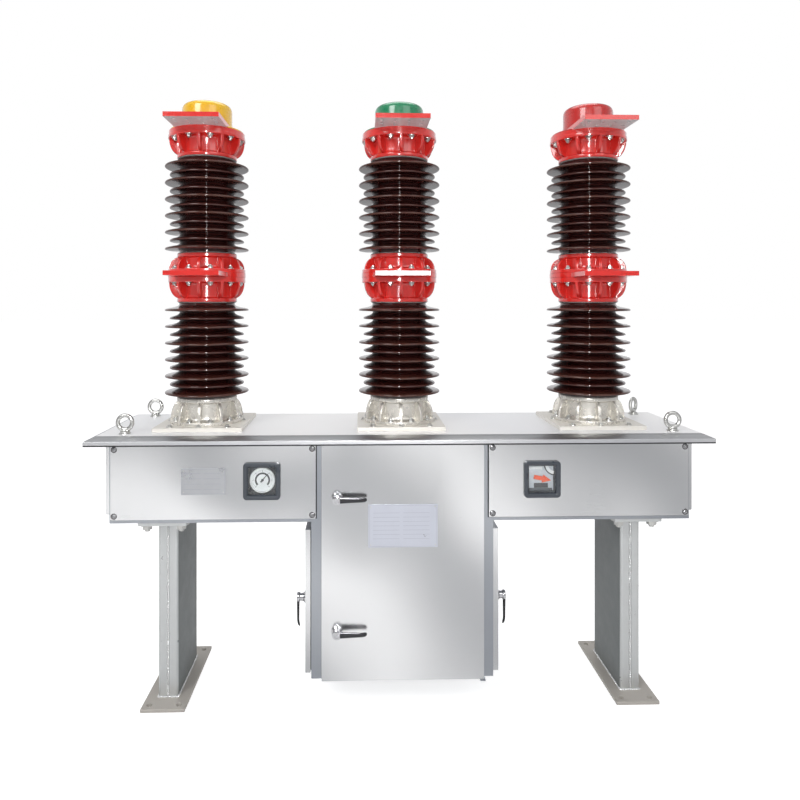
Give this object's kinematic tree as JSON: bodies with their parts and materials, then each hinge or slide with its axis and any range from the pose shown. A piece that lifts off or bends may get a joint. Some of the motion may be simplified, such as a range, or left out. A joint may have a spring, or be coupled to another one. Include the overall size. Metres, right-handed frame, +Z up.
{
  "type": "three-pole outdoor vacuum circuit breaker",
  "caption": "Outdoor high-voltage vacuum circuit breaker: porcelain poles with terminals on a stainless housing and door cabinet, on two legs.",
  "frame": {"origin": "on the ground, midway between the two legs and under the middle pole's axis", "axes": "+Z up, -Y towards the side with the operator's door, +X to the right when facing that door"},
  "size_m": [2.128, 0.501, 2.121],
  "materials": {
    "stainless": "polished stainless sheet",
    "chrome": "bright chrome plate",
    "nameplate": "satin plate, bare",
    "window_case": "dark slate moulding",
    "window_glass": "clear glass",
    "dial_face": "white enamel",
    "needle": "black",
    "pointer": "orange-red gloss",
    "zinc": "bright zinc plate",
    "leg_paint": "silver-grey paint",
    "cast_aluminium": "cream-silver paint on a casting",
    "porcelain": "dark brown glaze on porcelain",
    "red_casting": "glossy red enamel",
    "terminal": "red enamel, bare contact face",
    "yellow_cap": "glossy yellow enamel",
    "green_cap": "glossy green enamel",
    "red_cap": "glossy red enamel"
  },
  "bodies": {
    "frame": {"roof_cover": "stainless", "left_housing": "stainless", "right_housing": "stainless", "front_panels": "stainless", "back_panels": "stainless", "end_panels": "stainless", "cabinet_front_frame": "stainless", "cabinet_side_walls": "stainless", "cabinet_back_wall": "stainless", "cabinet_floor": "stainless", "door_pivots": "stainless", "panel_nameplate": "nameplate", "window_cases": "window_case", "window_glasses": "window_glass", "gauge_dial": "dial_face", "indicator_plate": "dial_face", "lifting_eyes": "zinc", "left_leg": "leg_paint", "right_leg": "leg_paint", "pole_mounting_plates": "cast_aluminium", "pole_base_castings": "cast_aluminium", "left_lower_insulator": "porcelain", "middle_lower_insulator": "porcelain", "right_lower_insulator": "porcelain", "left_upper_insulator": "porcelain", "middle_upper_insulator": "porcelain", "right_upper_insulator": "porcelain", "centre_castings": "red_casting", "top_castings": "red_casting", "left_terminals": "terminal", "middle_terminals": "terminal", "right_terminals": "terminal", "left_cap": "yellow_cap", "middle_cap": "green_cap", "right_cap": "red_cap"},
    "front_door": {"front_door": "stainless", "door_nameplate": "nameplate"},
    "upper_front_handle": {"upper_front_handle": "chrome"},
    "lower_front_handle": {"lower_front_handle": "chrome"},
    "left_side_door": {"left_side_door": "stainless"},
    "left_side_handle": {"left_side_handle": "chrome"},
    "right_side_door": {"right_side_door": "stainless"},
    "right_side_handle": {"right_side_handle": "chrome"},
    "gauge_needle": {"gauge_needle": "needle"},
    "position_pointer": {"position_pointer": "pointer"}
  },
  "joints": [
    {"name": "front_door_hinge", "type": "hinge", "parent": "frame", "child": "front_door", "pos_m": [0.271, -0.222, 0.114], "axis": [0, 0, 1], "range_deg": [0, 110]},
    {"name": "left_side_door_hinge", "type": "hinge", "parent": "frame", "child": "left_side_door", "pos_m": [-0.328, 0.181, 0.12], "axis": [0, 0, -1], "range_deg": [0, 100]},
    {"name": "right_side_door_hinge", "type": "hinge", "parent": "frame", "child": "right_side_door", "pos_m": [0.328, 0.181, 0.12], "axis": [0, 0, 1], "range_deg": [0, 100]},
    {"name": "upper_front_handle_turn", "type": "hinge", "parent": "front_door", "child": "upper_front_handle", "pos_m": [-0.222, -0.227, 0.7316], "axis": [0, 1, 0], "range_deg": [0, 90]},
    {"name": "lower_front_handle_turn", "type": "hinge", "parent": "front_door", "child": "lower_front_handle", "pos_m": [-0.222, -0.227, 0.2832], "axis": [0, 1, 0], "range_deg": [0, 90]},
    {"name": "left_side_handle_turn", "type": "hinge", "parent": "left_side_door", "child": "left_side_handle", "pos_m": [-0.333, -0.15, 0.365], "axis": [1, 0, 0], "range_deg": [0, 90]},
    {"name": "right_side_handle_turn", "type": "hinge", "parent": "right_side_door", "child": "right_side_handle", "pos_m": [0.333, -0.15, 0.365], "axis": [1, 0, 0], "range_deg": [0, 90]},
    {"name": "gauge_needle_turn", "type": "hinge", "parent": "frame", "child": "gauge_needle", "pos_m": [-0.476, -0.203, 0.787], "axis": [0, 1, 0], "range_deg": [-90, 180]},
    {"name": "position_pointer_turn", "type": "hinge", "parent": "frame", "child": "position_pointer", "pos_m": [0.476, -0.203, 0.787], "axis": [0, 1, 0], "range_deg": [-60, 0]}
  ]
}
